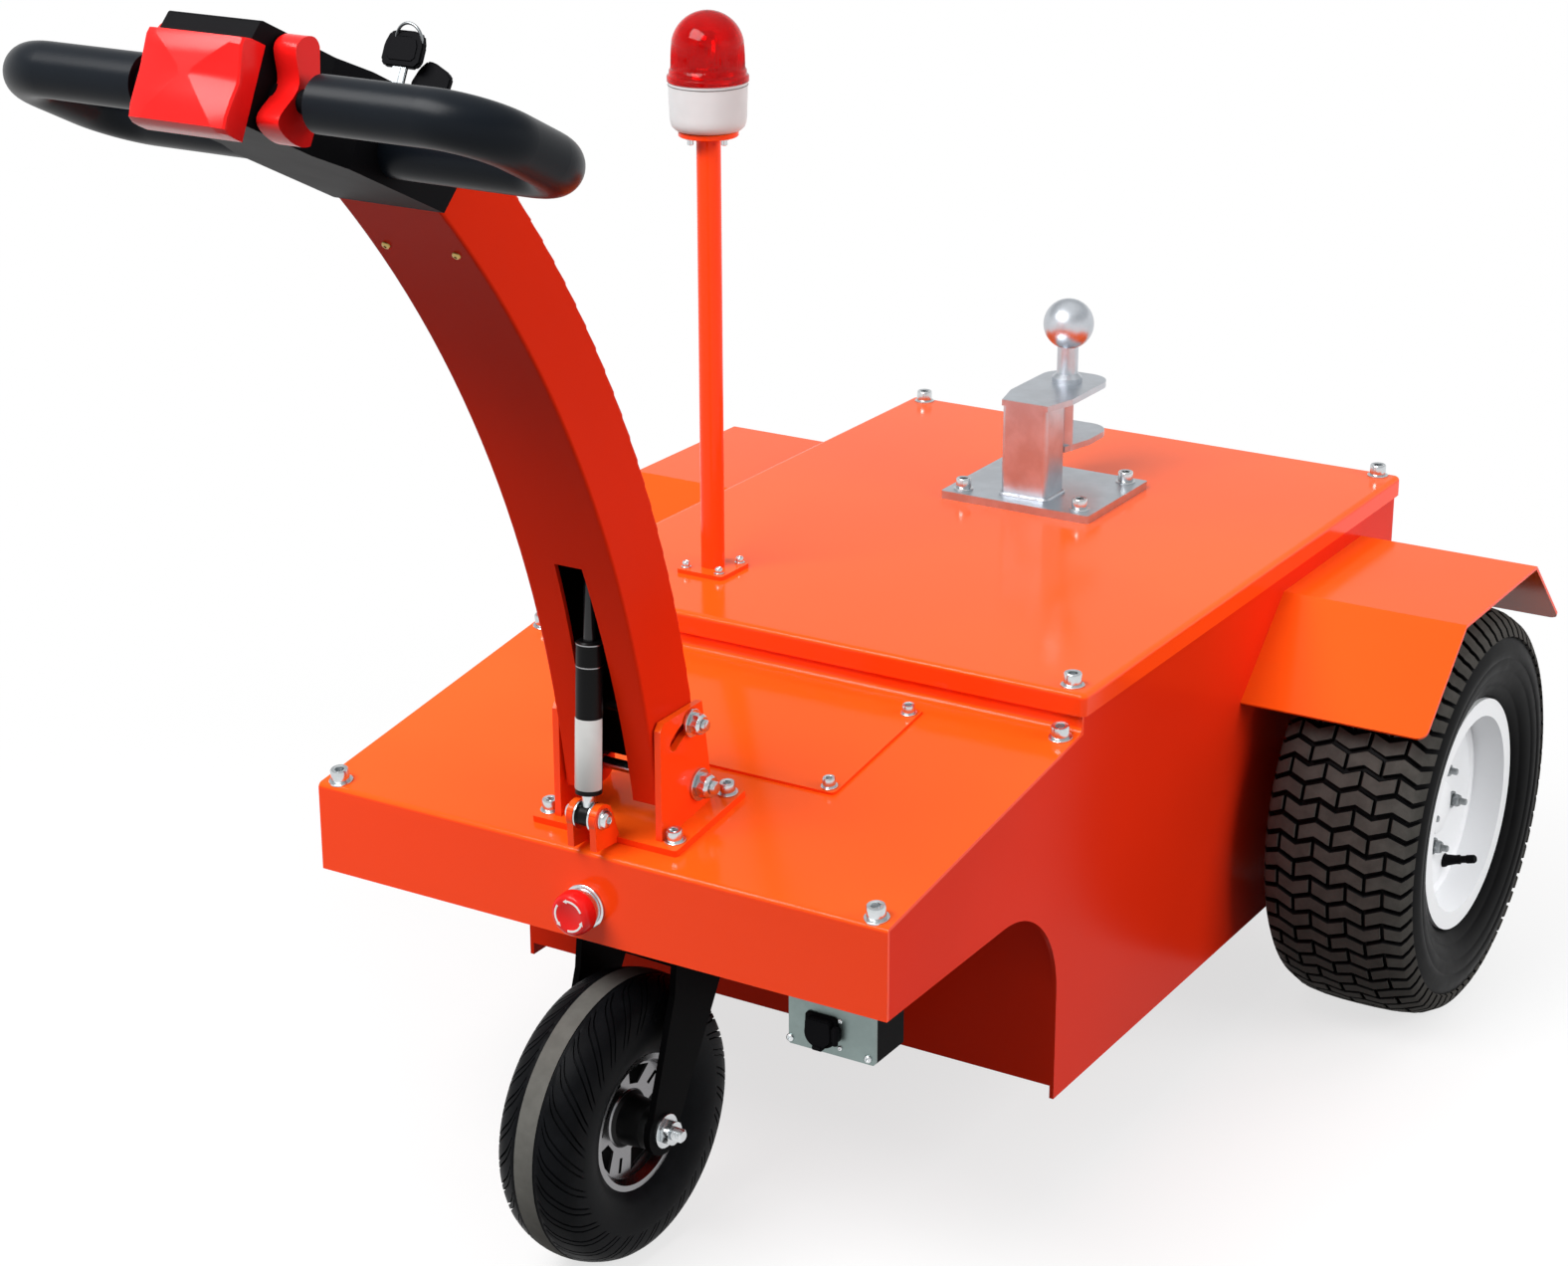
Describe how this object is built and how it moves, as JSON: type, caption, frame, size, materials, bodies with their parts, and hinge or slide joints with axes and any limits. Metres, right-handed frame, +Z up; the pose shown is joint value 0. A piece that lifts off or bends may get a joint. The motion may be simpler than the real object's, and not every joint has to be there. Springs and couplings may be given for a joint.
{
  "type": "airport baggage tug",
  "caption": "Walk-behind electric baggage tug: bent-sheet hull on turf-tyred drive wheels and a castor, tilting tiller with loop handle, tow ball hitch and beacon on a post.",
  "frame": {"origin": "middle of the footprint of the bounding box, on the floor", "axes": "-Y towards the tiller and castor, which lead, +Y to the drive wheels, +X to the tug's left, +Z up"},
  "size_m": [0.918, 1.4778, 1.1103],
  "materials": {
    "orange_paint": "gloss powder coat",
    "zinc": "bright zinc plate",
    "white_paint": "gloss",
    "tyre_rubber": "moulded rubber",
    "castor_rubber": "moulded rubber",
    "castor_alloy": "cast",
    "black_metal": "satin",
    "black_plastic": "moulded",
    "grip_rubber": "satin",
    "red_plastic": "gloss",
    "white_plastic": "satin",
    "beacon_red": "clear moulded",
    "plate_alloy": "milled",
    "spring_chrome": "polished",
    "drive_iron": "painted casting",
    "battery_case": "moulded"
  },
  "bodies": {
    "hull": {"side_plate_left": "orange_paint", "side_plate_right": "orange_paint", "deck_panel": "orange_paint", "bulkhead": "orange_paint", "floor_pan": "orange_paint", "rear_panel": "orange_paint", "castor_shelf": "orange_paint", "lid": "orange_paint", "deck_hatch": "orange_paint", "fender_left": "orange_paint", "fender_right": "orange_paint", "tiller_bracket": "orange_paint", "beacon_post": "orange_paint", "hitch_base": "zinc", "hitch_post": "zinc", "hitch_jaw": "zinc", "tow_ball": "zinc", "stop_collar": "zinc", "pivot_bolt": "zinc", "clevis_pin": "zinc", "castor_plate": "zinc", "charge_box": "black_metal", "charge_socket": "black_plastic", "stop_button": "red_plastic", "beacon_base": "white_plastic", "beacon_lens": "beacon_red", "charge_plate": "plate_alloy", "drive_axle": "drive_iron", "motor": "drive_iron", "battery": "battery_case"},
    "tiller": {"tiller_arm": "orange_paint", "stop_bolt": "zinc", "spring_cross_pin": "zinc", "console": "black_plastic", "grip_left": "grip_rubber", "grip_right": "grip_rubber", "belly_button": "red_plastic", "rocker_left": "red_plastic", "rocker_right": "red_plastic", "key_switch": "zinc", "key": "black_plastic"},
    "spring_barrel": {"spring_tube": "black_metal"},
    "spring_piston": {"spring_rod": "spring_chrome"},
    "castor": {"castor_fork": "black_metal", "castor_axle": "zinc"},
    "castor_wheel": {"castor_rim": "castor_alloy", "castor_tyre": "castor_rubber"},
    "wheel_left": {"rim_left": "white_paint", "tyre_left": "tyre_rubber"},
    "wheel_right": {"rim_right": "white_paint", "tyre_right": "tyre_rubber"}
  },
  "joints": [
    {"name": "tiller_tilt", "type": "hinge", "parent": "hull", "child": "tiller", "pos_m": [0, -0.2261, 0.425], "axis": [1, 0, 0], "range_deg": [0, 25]},
    {"name": "spring_swing", "type": "hinge", "parent": "hull", "child": "spring_barrel", "pos_m": [0, -0.3081, 0.416], "axis": [1, 0, 0], "range_deg": [0, 26]},
    {"name": "spring_slide", "type": "slide", "parent": "spring_barrel", "child": "spring_piston", "axis": [0, -0.0492, -0.9988], "range_m": [0, 0.037]},
    {"name": "castor_swivel", "type": "hinge", "parent": "hull", "child": "castor", "pos_m": [-0.005, -0.2151, 0.29], "axis": [0, 0, 1], "continuous": true},
    {"name": "castor_spin", "type": "hinge", "parent": "castor", "child": "castor_wheel", "pos_m": [-0.0074, -0.27005, 0.126], "axis": [0.999, -0.0436, 0], "continuous": true},
    {"name": "wheel_left_spin", "type": "hinge", "parent": "hull", "child": "wheel_left", "pos_m": [0.382, 0.5359, 0.203], "axis": [1, 0, 0], "continuous": true},
    {"name": "wheel_right_spin", "type": "hinge", "parent": "hull", "child": "wheel_right", "pos_m": [-0.382, 0.5359, 0.203], "axis": [1, 0, 0], "continuous": true}
  ],
  "couplings": [
    {"joint": "spring_swing", "follows": "tiller_tilt", "ratio": 1.01},
    {"joint": "spring_slide", "follows": "tiller_tilt", "m_per_rad": 0.08167}
  ]
}
